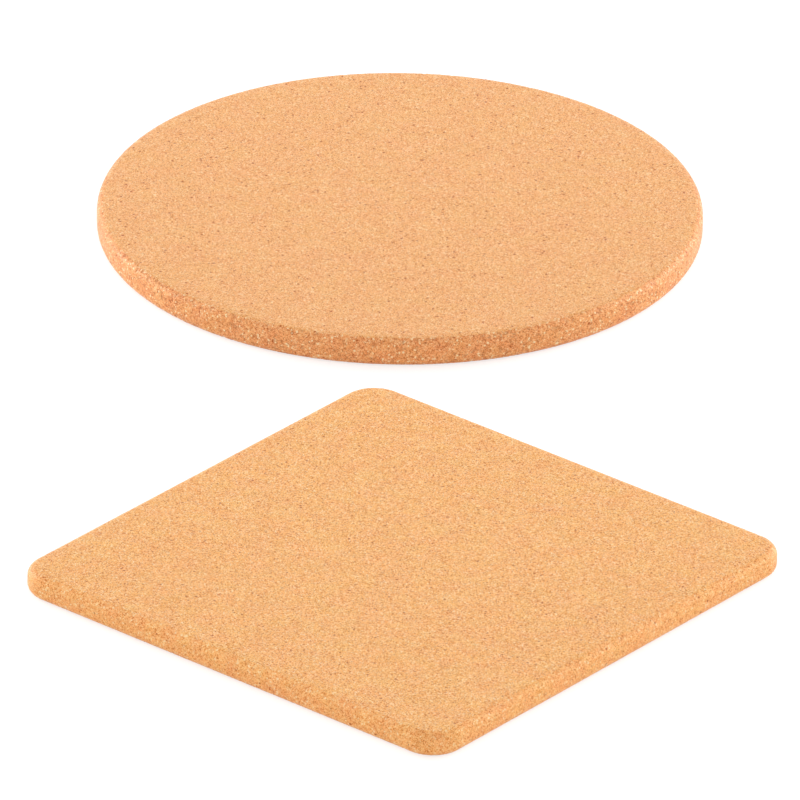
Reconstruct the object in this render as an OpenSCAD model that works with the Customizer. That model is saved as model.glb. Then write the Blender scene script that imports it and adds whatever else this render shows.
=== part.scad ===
// A pair of cork trivets: a round slab, and in front of it a square slab laid corner first.
// Each is cut from one board of agglomerated cork, with its top and bottom edges rounded.
// +Z is up and Z = 0 is the table. The pair's box is centred on X = 0 and Y = 0.

/* [Round trivet] */
// Diameter of the round trivet
round_d = 200; // [120:1:300]
// Thickness of the round trivet
round_t = 10; // [7:0.5:20]
// Radius that rounds the top and bottom edges of the round trivet
round_edge_r = 3; // [1:0.25:3.25]

/* [Square trivet] */
// Side of the square trivet
square_w = 175; // [100:1:300]
// Thickness of the square trivet
square_t = 8.5; // [7:0.5:20]
// Radius that rounds the top and bottom edges of the square trivet
square_edge_r = 3; // [1:0.25:3.25]
// Radius of the square trivet's four corners, seen from above
square_corner_r = 11.5; // [5:0.5:40]

/* [Place on the table] */
// Free table between the round trivet and the near corner of the square one
pair_gap = 28.5; // [2:0.5:150]
// How far the round trivet's centre lies to the left of the square one's centre
round_offset = 2.3; // [0:0.1:40]
// Angle that the square trivet is turned, seen from above
square_turn = 50.2; // [0:0.1:90]

/* [Hidden] */
$fn = 144;

cork = "#f3b881";
round_r = round_d / 2;

// Straight run of each side of the square, between its corner arcs
square_run = square_w - 2 * square_corner_r;
// How far the turned square reaches from its own centre, along X and along Y alike
square_reach = square_run / 2 * (cos(square_turn) + sin(square_turn)) + square_corner_r;

// The pair lies along Y, with the round trivet behind
pair_depth = round_d + pair_gap + 2 * square_reach;
round_y = pair_depth / 2 - round_r;
square_y = square_reach - pair_depth / 2;

// The pair's left and right ends as the square's centre sees them, then both centres
pair_left = min(-square_reach, -round_offset - round_r);
pair_right = max(square_reach, -round_offset + round_r);
square_x = -(pair_left + pair_right) / 2;
round_x = square_x - round_offset;

// Half section of a slab, from its middle out to its rim, standing on the table.
// Two crossing rectangles give the flats, and a circle at each edge rounds it.
module slab_half_section(reach, thickness, edge_r) {
    square([reach - edge_r, thickness]);
    translate([0, edge_r])
        square([reach, thickness - 2 * edge_r]);
    for (height = [edge_r, thickness - edge_r]) {
        translate([reach - edge_r, height])
            circle(r = edge_r);
    }
}

// One side of the square slab: the half section carried along the straight run
module square_side() {
    rotate([90, 0, 0])
        linear_extrude(height = square_run, center = true)
            slab_half_section(square_w / 2, square_t, square_edge_r);
}

// One corner of the square slab: the same rim swept a quarter turn
module square_corner() {
    translate([square_run / 2, square_run / 2, 0])
        rotate_extrude(angle = 90)
            slab_half_section(square_corner_r, square_t, square_edge_r);
}

module round_trivet() {
    color(cork)
        translate([round_x, round_y, 0])
            rotate_extrude()
                slab_half_section(round_r, round_t, round_edge_r);
}

module square_trivet() {
    color(cork)
        translate([square_x, square_y, 0])
            rotate([0, 0, square_turn])
                for (quarter = [0:3]) {
                    rotate([0, 0, 90 * quarter]) {
                        square_side();
                        square_corner();
                    }
                }
}

round_trivet();
square_trivet();
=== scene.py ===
"""Looks of two cork trivets, a round slab and a square one, built around their solids.

Both are cut from boards of agglomerated cork: granules pressed and baked with a little binder.
The two faces of a board are sanded flat. The rims are sawn and rounded over with a cutter, which
opens the granules, so they are rougher and browner than the faces.
Lengths are in metres unless a name says otherwise.
"""

import itertools
import math

import bpy
import numpy as np
from mathutils import Matrix, Vector


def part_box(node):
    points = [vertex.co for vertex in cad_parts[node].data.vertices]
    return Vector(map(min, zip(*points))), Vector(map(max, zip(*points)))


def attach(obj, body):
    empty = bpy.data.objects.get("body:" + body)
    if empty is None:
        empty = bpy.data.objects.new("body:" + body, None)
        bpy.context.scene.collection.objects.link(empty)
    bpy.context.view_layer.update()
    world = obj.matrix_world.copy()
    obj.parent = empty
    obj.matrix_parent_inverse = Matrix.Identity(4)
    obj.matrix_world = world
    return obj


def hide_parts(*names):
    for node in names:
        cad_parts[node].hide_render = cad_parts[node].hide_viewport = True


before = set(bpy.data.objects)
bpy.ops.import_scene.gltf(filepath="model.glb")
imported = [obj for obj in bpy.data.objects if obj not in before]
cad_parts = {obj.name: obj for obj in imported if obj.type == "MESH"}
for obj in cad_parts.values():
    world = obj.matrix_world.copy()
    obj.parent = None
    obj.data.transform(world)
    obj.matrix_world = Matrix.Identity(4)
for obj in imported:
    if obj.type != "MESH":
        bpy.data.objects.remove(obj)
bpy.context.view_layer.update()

MM = 0.001

# The slabs, as their solids have them; their places and thicknesses come from the solids' boxes
EDGE_R = 3.0 * MM
SQUARE_CORNER_R = 11.5 * MM
SQUARE_TURN = math.radians(50.2)

# How finely a rim is drawn: places round the outline, and the step down the rim
OUTLINE_PLACES = 2048
RIM_STEP = 0.32 * MM
# The places are halved this many times on the way to the middle of a face
FACE_HALVINGS = 5

# How far an edge has turned away from its face where the relief is at full depth, and where the
# share that a place is into the rim reaches 1
RELIEF_TURN = math.radians(25)
COLOUR_TURN = math.radians(50)

# Each rim's granules, the full depth of its relief, and the number that sets its pattern. The round
# slab's rim was cut coarser and browner than the square one's.
ROUND_CUT = {"granule": 0.95 * MM, "relief": 0.16 * MM, "seed": 3}
SQUARE_CUT = {"granule": 0.90 * MM, "relief": 0.10 * MM, "seed": 8}

# Depths in shares of the full one: a groove between granules, the lowest cut granule, a torn one,
# and the most that they add up to
GROOVE_DEPTH = 0.45
CUT_DEPTH = 0.35
TORN_DEPTH = 0.8
DEEPEST = 1.25
# A groove is deepest between two granules, and ends where the second nearest granule's point is
# this much farther away than the nearest one's, in sizes
GROOVE_REACH = 0.22
# Granules whose share is above TORN_FROM are torn, and those above it by TORN_RAMP are torn out
TORN_FROM = 0.90
TORN_RAMP = 0.04

# Mixing of whole numbers in 32 bits: a factor for each of a cube's numbers and one for the seed,
# then folds, each a shift and the factor after it, and a last shift
CUBE_FACTORS = np.array([374761393, 668265263, 2246822519])
SEED_FACTOR = 3266489917
FOLDS = ((15, 2246822519), (13, 3266489917))
LAST_SHIFT = 16
WORD = 0xFFFFFFFF
# Farther than any granule's point, in sizes
BEYOND = 9.0

# Granules are pushed by up to the first length along each axis, and the push changes from place
# to place over the second
PUSH_MM = 0.4
PUSH_SPAN_MM = 0.8
# Shares of the cutter's depth from which painted shade starts to darken a gap, and from which it is
# darkest
PIT_SHADE_FROM = 0.5
PIT_SHADE_TO = 1.1
# Smallest and largest width of a scattered body as shares of the one given, and where its soft
# edge starts and ends, in radii
BODY_SMALLEST = 0.5
BODY_LARGEST = 1.5
BODY_EDGE_FROM = 0.8
BODY_EDGE_TO = 1.2
# Colour drift: how finely its noise is broken up, and the two levels that the noise runs between
DRIFT_DETAIL = 2.0
DRIFT_LOW = 0.3
DRIFT_HIGH = 0.7
# Fine relief: its depth, and the heights of a grain and of a bark speck beside a granule's
BUMP_MM = 0.05
GRAIN_HEIGHT = 0.5
BARK_HEIGHT = -1.2

# Cork's surface: low, broad gloss, and a short fuzz
ROUGHNESS = 0.5
SPECULAR = 0.25
FUZZ = 0.3
FUZZ_ROUGHNESS = 0.3

# Cork of the round slab. A band is a list of shares and colours, from the darkest granule to the
# palest. The rim starts between two shares of into_rim, and drift is how far hue and value stray.
ROUND_FINISH = {
    "grain_mm": 0.24, "granule_mm": 0.8, "face_granule_share": 0.06, "rim_granule_share": 0.25,
    "face_band": [(0.0, "#b15c1b"), (0.18, "#d88743"), (0.4, "#efaa64"), (0.76, "#f6b87a"),
                  (1.0, "#faddb3")],
    "rim_band": [(0.0, "#af5927"), (0.26, "#d8834a"), (0.5, "#f6a462"), (0.8, "#febf81"),
                 (1.0, "#ffe7b9")],
    # The painted shade in the cutter's deeper grooves and pits: how dark it gets, and its colour
    "rim_from": 0.43, "rim_to": 0.6, "rim_ragged": 0.16, "pit_shade_dark": 0.35, "pit_shade_colour": "#a86438",
    "pale_cell_mm": 0.85, "pale_share": 0.2, "pale_mm": 0.6, "pale_on_face": 0.4,
    "pale_on_rim": 0.9, "pale_colour": "#ffe4b4",
    "bark_cell_mm": 1.3, "bark_share": 0.065, "bark_mm": 0.6, "bark_dark": 0.9,
    "bark_colour": "#b05008",
    "drift_mm": 7.0, "drift_hue": 0.003, "drift_value": 0.012, "bump": 0.3,
}
# Cork of the square slab, where it differs: yellower, with a milder rim and fewer specks
SQUARE_FINISH = dict(
    ROUND_FINISH, grain_mm=0.27,
    face_band=[(0.0, "#b75b13"), (0.18, "#dc893e"), (0.38, "#f5ad5f"), (0.74, "#fbbf77"),
               (1.0, "#fce2bb")],
    rim_band=[(0.0, "#c06420"), (0.26, "#ea964b"), (0.5, "#ffb56d"), (0.8, "#ffc782"),
              (1.0, "#ffe5b4")],
    rim_from=0.24, rim_to=0.4, rim_ragged=0.12, pit_shade_dark=0.15, pale_share=0.14, pale_on_rim=0.6,
    bark_share=0.04, drift_hue=0.004, drift_value=0.02,
)

# Camera: a long lens far away, looking down at the table
PICTURE_PX = 800
FOCAL_PX = 16000
SENSOR_MM = 36.0
CAMERA_PITCH = math.radians(27.212)
CAMERA_ROLL = math.radians(0.678)
CAMERA_DISTANCE = 5172.1 * MM
CAMERA_AIM = Vector((-1.55, 10.06, 0.0)) * MM

# Studio: an even white sky and three soft boxes, on a white floor
FLOOR_SIZE = 12.0
FLOOR_DROP = 0.1 * MM
# Share of light that the floor gives back as the slabs get it, then the share and the white glow
# with which it is seen
FLOOR_ALBEDO = 0.90
FLOOR_SEEN_ALBEDO = 0.45
FLOOR_SEEN_GLOW = 0.71
SKY_STRENGTH = 0.65
# Name, place, size and watts of each box: a low one behind each end, and a weak one in front
SOFT_BOXES = (
    ("side_box_0", Vector((-1.41, 0.75, 0.4)), 1.2, 22.6),
    ("side_box_1", Vector((1.41, 0.75, 0.4)), 1.2, 22.6),
    ("front_box", Vector((0.0, -1.5, 0.45)), 1.2, 3.4),
)


def linear(code):
    """Turns an sRGB hex colour into linear light, by the sRGB curve's straight foot and power."""
    shares = [int(code[place:place + 2], 16) / 255 for place in (1, 3, 5)]
    levels = [s / 12.92 if s <= 0.04045 else ((s + 0.055) / 1.055) ** 2.4 for s in shares]
    return (*levels, 1.0)


def add(tree, kind, inputs=None, stops=None, **settings):
    """Adds a node, sets its properties, then sets or links its inputs.

    stops are a colour band's shares and hex colours.
    """
    node = tree.nodes.new(kind)
    for key, value in settings.items():
        setattr(node, key, value)
    for key, value in (inputs or {}).items():
        if isinstance(value, bpy.types.NodeSocket):
            tree.links.new(value, node.inputs[key])
        else:
            node.inputs[key].default_value = value
    for number, (place, code) in enumerate(stops or []):
        band = node.color_ramp.elements
        stop = band[number] if number < 2 else band.new(place)
        stop.position = place
        stop.color = linear(code)
    return node


# Shapes

def round_outline(centre, radius):
    """Circle: places at even angles, each the centre plus the radius along its outward direction.

    Returns the places and their outward directions.
    """
    angle = 2 * np.pi * np.arange(OUTLINE_PLACES) / OUTLINE_PLACES
    outward = np.stack([np.cos(angle), np.sin(angle)], axis=1)
    return centre + radius * outward, outward


def square_outline(centre, reach):
    """Turned square with rounded corners, walked at even steps of length.

    Each side is a straight run, then a quarter circle. In a side's own view the place is half the
    run across and the way gone along it, plus the corner radius along the outward direction, which
    bends from the side to the next one. The turns of the side and of the slab come last. The reach
    of the turned square's box gives the run. Returns the places and their outward directions.
    """
    run = 2 * (reach - SQUARE_CORNER_R) / (math.cos(SQUARE_TURN) + math.sin(SQUARE_TURN))
    one_side = run + SQUARE_CORNER_R * np.pi / 2
    walked = 4 * one_side * np.arange(OUTLINE_PLACES) / OUTLINE_PLACES
    side, along = np.divmod(walked, one_side)
    bend = np.clip((along - run) / SQUARE_CORNER_R, 0, np.pi / 2)
    straight = np.stack([np.full(OUTLINE_PLACES, run / 2), np.minimum(along, run) - run / 2],
                        axis=1)
    turned = side * np.pi / 2 + SQUARE_TURN
    across = np.stack([np.cos(turned), np.sin(turned)], axis=1)
    ahead = np.stack([-np.sin(turned), np.cos(turned)], axis=1)
    outward = np.cos(bend)[:, None] * across + np.sin(bend)[:, None] * ahead
    place = straight[:, :1] * across + straight[:, 1:] * ahead + SQUARE_CORNER_R * outward
    return centre + place, outward


def rim_profile(thickness):
    """The rim from the end of the top face to the end of the bottom one.

    It is a quarter circle of the edge radius, a straight drop and a quarter circle. Returns, for
    rows at even steps of length, the inset from the outline, the height, and the tilt of the
    outward direction, from a quarter turn up to a quarter turn down.
    """
    arc = EDGE_R * np.pi / 2
    drop = thickness - 2 * EDGE_R
    rows = math.ceil((2 * arc + drop) / RIM_STEP) + 1
    walked = np.linspace(0, 2 * arc + drop, rows)
    upper = np.clip(walked / EDGE_R, 0, np.pi / 2)
    lower = np.clip((walked - arc - drop) / EDGE_R, 0, np.pi / 2)
    tilt = np.pi / 2 - upper - lower
    inset = EDGE_R * (1 - np.cos(tilt))
    straight = drop * (1 - np.clip((walked - arc) / drop, 0, 1))
    height = EDGE_R + straight + EDGE_R * np.sin(tilt)
    return inset, height, tilt


def hashed_shares(cubes, seed):
    """Four fixed shares from 0 to 1 for each cube, a place in whole numbers.

    The cube's numbers and the seed are each multiplied by a factor and summed. Then the sum is
    twice folded onto itself and multiplied, and folded once more, all in 32 bits.
    """
    shares = []
    for turn in range(4):
        mixed = cubes @ CUBE_FACTORS + (seed * 4 + turn) * SEED_FACTOR
        mixed = mixed & WORD
        for shift, factor in FOLDS:
            mixed = ((mixed ^ (mixed >> shift)) * factor) & WORD
        shares.append((mixed ^ (mixed >> LAST_SHIFT)) / WORD)
    return np.stack(shares, axis=1)


def packed_granules(places, size, seed):
    """Pattern of packed granules: cubes of the given size, each with one point in it.

    The point lies at hashed shares of the cube's sides. Returns, for each place, how much farther
    the second nearest point is than the nearest, in sizes, which is 0 between two granules, and a
    fixed share for the granule that the place is in.
    """
    scaled = places / size
    cube = np.floor(scaled).astype(np.int64)
    nearest, second = np.full((2, len(places)), BEYOND)
    share = np.zeros(len(places))
    for step in itertools.product((-1, 0, 1), repeat=3):
        neighbour = cube + np.array(step)
        shares = hashed_shares(neighbour, seed)
        away = np.linalg.norm(neighbour + shares[:, :3] - scaled, axis=1)
        closer = away < nearest
        second = np.where(closer, nearest, np.minimum(second, away))
        share = np.where(closer, shares[:, 3], share)
        nearest = np.minimum(nearest, away)
    return second - nearest, share


def cut_relief(places, granule, seed):
    """How deep the cutter left each place of a rim, as a share of the full depth.

    It is the sum of three: grooves between granules, granules cut at their own depths, and a few
    torn out.
    """
    gap, share = packed_granules(places, granule, seed)
    groove = np.clip(1 - gap / GROOVE_REACH, 0, 1)
    torn = np.clip((share - TORN_FROM) / TORN_RAMP, 0, 1)
    return np.clip(GROOVE_DEPTH * groove + CUT_DEPTH * share + TORN_DEPTH * torn, 0, DEEPEST)


def face_rings(outline, centre, height, first, start):
    """A flat face, from its outer ring of places to one place in the middle.

    Rings shrink towards the centre by a square law, each with half the places of the one outside
    it. Returns the new places and the triangles, which turn anticlockwise seen from above. first
    is the outer ring's first number, and start that of the first new ring.
    """
    places, triangles = [], []
    outer, count = first + np.arange(len(outline)), len(outline)
    for halving in range(1, FACE_HALVINGS + 1):
        count //= 2
        shrink = 1 - (halving / (FACE_HALVINGS + 1)) ** 2
        ring = centre + shrink * (outline[::2 ** halving] - centre)
        places.append(np.column_stack([ring, np.full(count, height)]))
        inner = start + np.arange(count)
        start += count
        near, middle, far = outer[::2], outer[1::2], np.roll(outer[::2], -1)
        step = np.roll(inner, -1)
        for three in ((near, middle, inner), (middle, step, inner), (middle, far, step)):
            triangles.append(np.stack(three, axis=1))
        outer = inner
    places.append(np.array([[*centre, height]]))
    triangles.append(np.stack([outer, np.roll(outer, -1), np.full(count, start)], axis=1))
    return np.concatenate(places), np.concatenate(triangles)


def with_third(rows, third):
    """Adds one third number for each row to rows of places or directions seen from above."""
    column = np.broadcast_to(third[:, None, None], (*rows.shape[:2], 1))
    return np.concatenate([rows, column], axis=2)


def slab(name, node, outline_of, granule, relief, seed):
    """A cork slab in its solid's box: a rim carried round the outline, closed by two flat faces.

    Each rim place is the outline less the profile's inset along the outward direction, at the
    profile's height, and is then moved inwards by the cutter's relief, which fades out where the
    rim meets the faces. The mesh keeps, for each place, how far it is into the rim and how deep
    the cutter left it, as shares.
    """
    low, high = (np.array(corner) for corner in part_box(node))
    centre = (low[:2] + high[:2]) / 2
    outline, outward = outline_of(centre, (high[0] - low[0]) / 2)
    inset, height, tilt = rim_profile(high[2] - low[2])
    flat = outline[None] - inset[:, None, None] * outward[None]
    places = with_third(flat, height)
    facing = with_third(np.cos(tilt)[:, None, None] * outward[None], np.sin(tilt))
    turned = np.pi / 2 - np.abs(tilt)
    into_rim = np.clip(turned / COLOUR_TURN, 0, 1)
    cut = cut_relief(places.reshape(-1, 3), granule, seed).reshape(len(tilt), -1)
    cut = cut * np.clip(turned / RELIEF_TURN, 0, 1)[:, None]
    places = (places - relief * cut[..., None] * facing).reshape(-1, 3)

    here = np.arange(len(places)).reshape(len(tilt), -1)
    ahead = np.roll(here, -1, axis=1)
    quads = np.stack([here[:-1], here[1:], ahead[1:], ahead[:-1]], axis=2).reshape(-1, 4)
    top, top_faces = face_rings(flat[0], centre, high[2], 0, len(places))
    under, under_faces = face_rings(flat[-1], centre, low[2], here[-1, 0], len(places) + len(top))
    triangles = np.concatenate([top_faces, under_faces[:, ::-1]])
    on_faces = np.zeros(len(top) + len(under))
    shares = {"into_rim": np.concatenate([np.repeat(into_rim, OUTLINE_PLACES), on_faces]),
              "cut_depth": np.concatenate([cut.ravel(), on_faces])}
    return new_piece(name, np.concatenate([places, top, under]), quads, triangles, shares)


def new_piece(name, places, quads, triangles, shares):
    """Puts places, faces and the shares kept with each place into a mesh, shaded smooth."""
    mesh = bpy.data.meshes.new(name)
    corners = np.concatenate([quads.ravel(), triangles.ravel()]).astype(np.int32)
    sizes = np.concatenate([np.full(len(quads), 4), np.full(len(triangles), 3)])
    mesh.vertices.add(len(places))
    mesh.vertices.foreach_set("co", places.astype(np.float32).ravel())
    mesh.loops.add(len(corners))
    mesh.loops.foreach_set("vertex_index", corners)
    mesh.polygons.add(len(sizes))
    mesh.polygons.foreach_set("loop_start", (np.cumsum(sizes) - sizes).astype(np.int32))
    mesh.update(calc_edges=True)
    mesh.shade_smooth()
    for share, values in shares.items():
        attribute = mesh.attributes.new(share, "FLOAT", "POINT")
        attribute.data.foreach_set("value", values.astype(np.float32))
    piece = bpy.data.objects.new(name, mesh)
    bpy.context.scene.collection.objects.link(piece)
    return piece


# Materials

def new_material(name):
    """A material and its node tree, which starts empty."""
    material = bpy.data.materials.new(name)
    material.use_nodes = True
    material.node_tree.nodes.clear()
    return material, material.node_tree


def agglomerated_cork(name, finish):
    """Cork granules pressed with binder: faces sanded, rims cut and rounded over.

    Sanding cuts through the granules, so a face is a fine, even, pale grain with a few dark bark
    specks. The cutter tears a rim's granules, so it is browner and coarser, with whole pale
    granules, and the darkening of its deeper grooves and pits is painted shade. Unsealed cork is
    matt, so the gloss is low and broad, and its fine fuzz is a little paler seen edge-on.
    In a colour mix, input 0 is the share, 6 and 7 are the colours, and output 2 is the result.
    """
    material, tree = new_material(name)
    spot = add(tree, "ShaderNodeTexCoord").outputs["Object"]
    place = add(tree, "ShaderNodeVectorMath", {0: spot, "Scale": 1 / MM},
                operation="SCALE").outputs[0]
    into_rim = add(tree, "ShaderNodeAttribute", attribute_name="into_rim").outputs["Fac"]
    cut_depth = add(tree, "ShaderNodeAttribute", attribute_name="cut_depth").outputs["Fac"]

    # Granules aren't round, so their places are pushed about a little
    push = add(tree, "ShaderNodeTexNoise",
               {"Vector": place, "Scale": 1 / PUSH_SPAN_MM, "Detail": 0.0}).outputs["Color"]
    pushed = add(tree, "ShaderNodeVectorMath", {0: push, 1: (PUSH_MM,) * 3, 2: place},
                 operation="MULTIPLY_ADD").outputs[0]
    grain = shares_of_granules(tree, place, finish["grain_mm"])
    granule = shares_of_granules(tree, pushed, finish["granule_mm"])

    # Where the rim starts, ragged by whole granules
    ragged = add(tree, "ShaderNodeMath",
                 {0: granule["Blue"], 1: finish["rim_ragged"], 2: into_rim},
                 operation="MULTIPLY_ADD").outputs[0]
    rim = add(tree, "ShaderNodeMapRange",
              {"Value": ragged, "From Min": finish["rim_from"], "From Max": finish["rim_to"]},
              interpolation_type="SMOOTHSTEP").outputs[0]

    # The shade of a place is mostly its grain's on a face, and more its granule's on a rim
    weight = add(tree, "ShaderNodeMix", {0: rim, 2: finish["face_granule_share"],
                                         3: finish["rim_granule_share"]}).outputs[0]
    shade = add(tree, "ShaderNodeMix", {0: weight, 2: grain["Red"], 3: granule["Red"]}).outputs[0]
    face_tan, rim_tan = (
        add(tree, "ShaderNodeValToRGB", {"Fac": shade}, stops=finish[band]).outputs[0]
        for band in ("face_band", "rim_band"))
    colour = add(tree, "ShaderNodeMix", {0: rim, 6: face_tan, 7: rim_tan},
                 data_type="RGBA").outputs[2]

    # Painted shade: the colour darkens where the cutter cut deeper, in its grooves and torn pits.
    # Whole pale granules lie in the rims, and cut ones show faintly in the faces. Dark specks of
    # bark lie over both.
    gap = add(tree, "ShaderNodeMapRange", {"Value": cut_depth, "From Min": PIT_SHADE_FROM,
                                           "From Max": PIT_SHADE_TO,
                                           "To Max": finish["pit_shade_dark"]}).outputs[0]
    clear = add(tree, "ShaderNodeMix", {0: rim, 2: finish["pale_on_face"],
                                        3: finish["pale_on_rim"]}).outputs[0]
    pale = scattered_bodies(tree, pushed, finish["pale_cell_mm"], finish["pale_share"],
                            finish["pale_mm"], clear)
    bark = scattered_bodies(tree, pushed, finish["bark_cell_mm"], finish["bark_share"],
                            finish["bark_mm"], finish["bark_dark"])
    for share, code in ((gap, "pit_shade_colour"), (pale, "pale_colour"), (bark, "bark_colour")):
        colour = add(tree, "ShaderNodeMix", {0: share, 6: colour, 7: linear(finish[code])},
                     data_type="RGBA").outputs[2]

    # The board's colour drifts from place to place, a little redder here and yellower there
    drift = add(tree, "ShaderNodeTexNoise", {"Vector": place, "Scale": 1 / finish["drift_mm"],
                                             "Detail": DRIFT_DETAIL}).outputs
    patch = add(tree, "ShaderNodeSeparateColor", {"Color": drift["Color"]}).outputs
    hue, value = (
        add(tree, "ShaderNodeMapRange",
            {"Value": noise, "From Min": DRIFT_LOW, "From Max": DRIFT_HIGH,
             "To Min": middle - stray, "To Max": middle + stray}).outputs[0]
        for noise, middle, stray in ((drift["Fac"], 0.5, finish["drift_hue"]),
                                     (patch["Green"], 1, finish["drift_value"])))
    colour = add(tree, "ShaderNodeHueSaturation",
                 {"Hue": hue, "Value": value, "Color": colour}).outputs[0]

    # Fine relief: each grain and granule stands a little proud or low, and bark specks are pits
    high = add(tree, "ShaderNodeMath", {0: grain["Green"], 1: GRAIN_HEIGHT, 2: granule["Green"]},
               operation="MULTIPLY_ADD").outputs[0]
    pitted = add(tree, "ShaderNodeMath", {0: bark, 1: BARK_HEIGHT, 2: high},
                 operation="MULTIPLY_ADD").outputs[0]
    bump = add(tree, "ShaderNodeBump", {"Height": pitted, "Strength": finish["bump"],
                                        "Distance": BUMP_MM * MM}).outputs[0]
    shader = add(tree, "ShaderNodeBsdfPrincipled",
                 {"Base Color": colour, "Roughness": ROUGHNESS, "Specular IOR Level": SPECULAR,
                  "Sheen Weight": FUZZ, "Sheen Roughness": FUZZ_ROUGHNESS, "Normal": bump})
    add(tree, "ShaderNodeOutputMaterial", {"Surface": shader.outputs[0]})
    return material


def shares_of_granules(tree, place, size_mm):
    """Packed granules of one size: three random shares, the same all over each granule."""
    cells = add(tree, "ShaderNodeTexVoronoi", {"Vector": place, "Scale": 1 / size_mm}).outputs
    return add(tree, "ShaderNodeSeparateColor", {"Color": cells["Color"]}).outputs


def scattered_bodies(tree, place, cell_mm, share, body_mm, strength):
    """Round bodies, each in the middle of a packed cell, in the given share of the cells.

    Returns the strength inside a body and 0 outside. The widths of the bodies differ.
    """
    cells = add(tree, "ShaderNodeTexVoronoi", {"Vector": place, "Scale": 1 / cell_mm}).outputs
    dice = add(tree, "ShaderNodeSeparateColor", {"Color": cells["Color"]}).outputs
    chosen = add(tree, "ShaderNodeMath", {0: dice["Green"], 1: 1 - share},
                 operation="GREATER_THAN").outputs[0]
    radius = body_mm / 2 / cell_mm
    radius = add(tree, "ShaderNodeMapRange", {"Value": dice["Blue"],
                                              "To Min": BODY_SMALLEST * radius,
                                              "To Max": BODY_LARGEST * radius}).outputs[0]
    out = add(tree, "ShaderNodeMath", {0: cells["Distance"], 1: radius},
              operation="DIVIDE").outputs[0]
    inside = add(tree, "ShaderNodeMapRange", {"Value": out, "From Min": BODY_EDGE_FROM,
                                              "From Max": BODY_EDGE_TO, "To Min": 1.0,
                                              "To Max": 0.0}).outputs[0]
    body = add(tree, "ShaderNodeMath", {0: chosen, 1: inside}, operation="MULTIPLY").outputs[0]
    return add(tree, "ShaderNodeMath", {0: body, 1: strength}, operation="MULTIPLY").outputs[0]


# Studio

def seen_directly(tree):
    """1 for a ray from the camera, or one that a gloss or clear material sends on, else 0."""
    path = add(tree, "ShaderNodeLightPath").outputs
    seen = path["Is Camera Ray"]
    for other in ("Is Glossy Ray", "Is Transmission Ray"):
        seen = add(tree, "ShaderNodeMath", {0: seen, 1: path[other]},
                   operation="MAXIMUM").outputs[0]
    return seen


def white_floor():
    """White sheet under the slabs, seen with a glow that lifts it to white and keeps shadows."""
    half = FLOOR_SIZE / 2
    corners = [(x * half, y * half, -FLOOR_DROP) for x, y in ((-1, -1), (1, -1), (1, 1), (-1, 1))]
    mesh = bpy.data.meshes.new("floor")
    mesh.from_pydata(corners, [], [(0, 1, 2, 3)])
    floor = bpy.data.objects.new("floor", mesh)
    bpy.context.scene.collection.objects.link(floor)
    paper, tree = new_material("matt_white_paper")
    sheet, seen_sheet = (
        add(tree, "ShaderNodeBsdfDiffuse", {"Color": (albedo, albedo, albedo, 1)}).outputs[0]
        for albedo in (FLOOR_ALBEDO, FLOOR_SEEN_ALBEDO))
    glow = add(tree, "ShaderNodeEmission", {"Strength": FLOOR_SEEN_GLOW}).outputs[0]
    lifted = add(tree, "ShaderNodeAddShader", {0: seen_sheet, 1: glow}).outputs[0]
    surface = add(tree, "ShaderNodeMixShader", {0: seen_directly(tree), 1: sheet, 2: lifted})
    add(tree, "ShaderNodeOutputMaterial", {"Surface": surface.outputs[0]})
    mesh.materials.append(paper)


def white_sky():
    """Even white light from all round, which is seen as plain white."""
    world = bpy.data.worlds.new("studio_sky")
    world.use_nodes = True
    tree = world.node_tree
    tree.nodes.clear()
    strength = add(tree, "ShaderNodeMapRange", {"Value": seen_directly(tree),
                                                "To Min": SKY_STRENGTH, "To Max": 1.0}).outputs[0]
    sky = add(tree, "ShaderNodeBackground", {"Color": (1, 1, 1, 1), "Strength": strength})
    add(tree, "ShaderNodeOutputWorld", {"Surface": sky.outputs[0]})
    bpy.context.scene.world = world


def soft_box(name, place, size, watts):
    """Square soft box aimed at the middle of the table."""
    lamp = bpy.data.lights.new(name, "AREA")
    lamp.size = size
    lamp.energy = watts
    box = bpy.data.objects.new(name, lamp)
    aim = place.to_track_quat("Z", "Y").to_matrix().to_4x4()
    box.matrix_world = Matrix.Translation(place) @ aim
    box.visible_camera = False
    bpy.context.scene.collection.objects.link(box)


def camera():
    """Long lens looking at its aim from its distance and pitch, rolled a little about the view."""
    lens = bpy.data.cameras.new("camera")
    lens.sensor_width = SENSOR_MM
    lens.lens = SENSOR_MM * FOCAL_PX / PICTURE_PX
    back = Vector((0, -math.cos(CAMERA_PITCH), math.sin(CAMERA_PITCH)))
    pitch = Matrix.Rotation(math.pi / 2 - CAMERA_PITCH, 4, "X")
    roll = Matrix.Rotation(CAMERA_ROLL, 4, "Z")
    eye = bpy.data.objects.new("camera", lens)
    eye.matrix_world = Matrix.Translation(CAMERA_AIM + CAMERA_DISTANCE * back) @ pitch @ roll
    bpy.context.scene.collection.objects.link(eye)
    bpy.context.scene.camera = eye


def trivet(name, node, outline_of, cut, material_name, finish):
    """One slab in its cork, standing for its solid and moving with its body."""
    piece = slab(name, node, outline_of, **cut)
    piece.data.materials.append(agglomerated_cork(material_name, finish))
    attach(piece, node)
    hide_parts(node)


bpy.context.scene.view_settings.view_transform = "Standard"
white_sky()
white_floor()
for box in SOFT_BOXES:
    soft_box(*box)
camera()
trivet("round_cork_slab", "round_trivet", round_outline, ROUND_CUT,
       "agglomerated_cork_round", ROUND_FINISH)
trivet("square_cork_slab", "square_trivet", square_outline, SQUARE_CUT,
       "agglomerated_cork_square", SQUARE_FINISH)
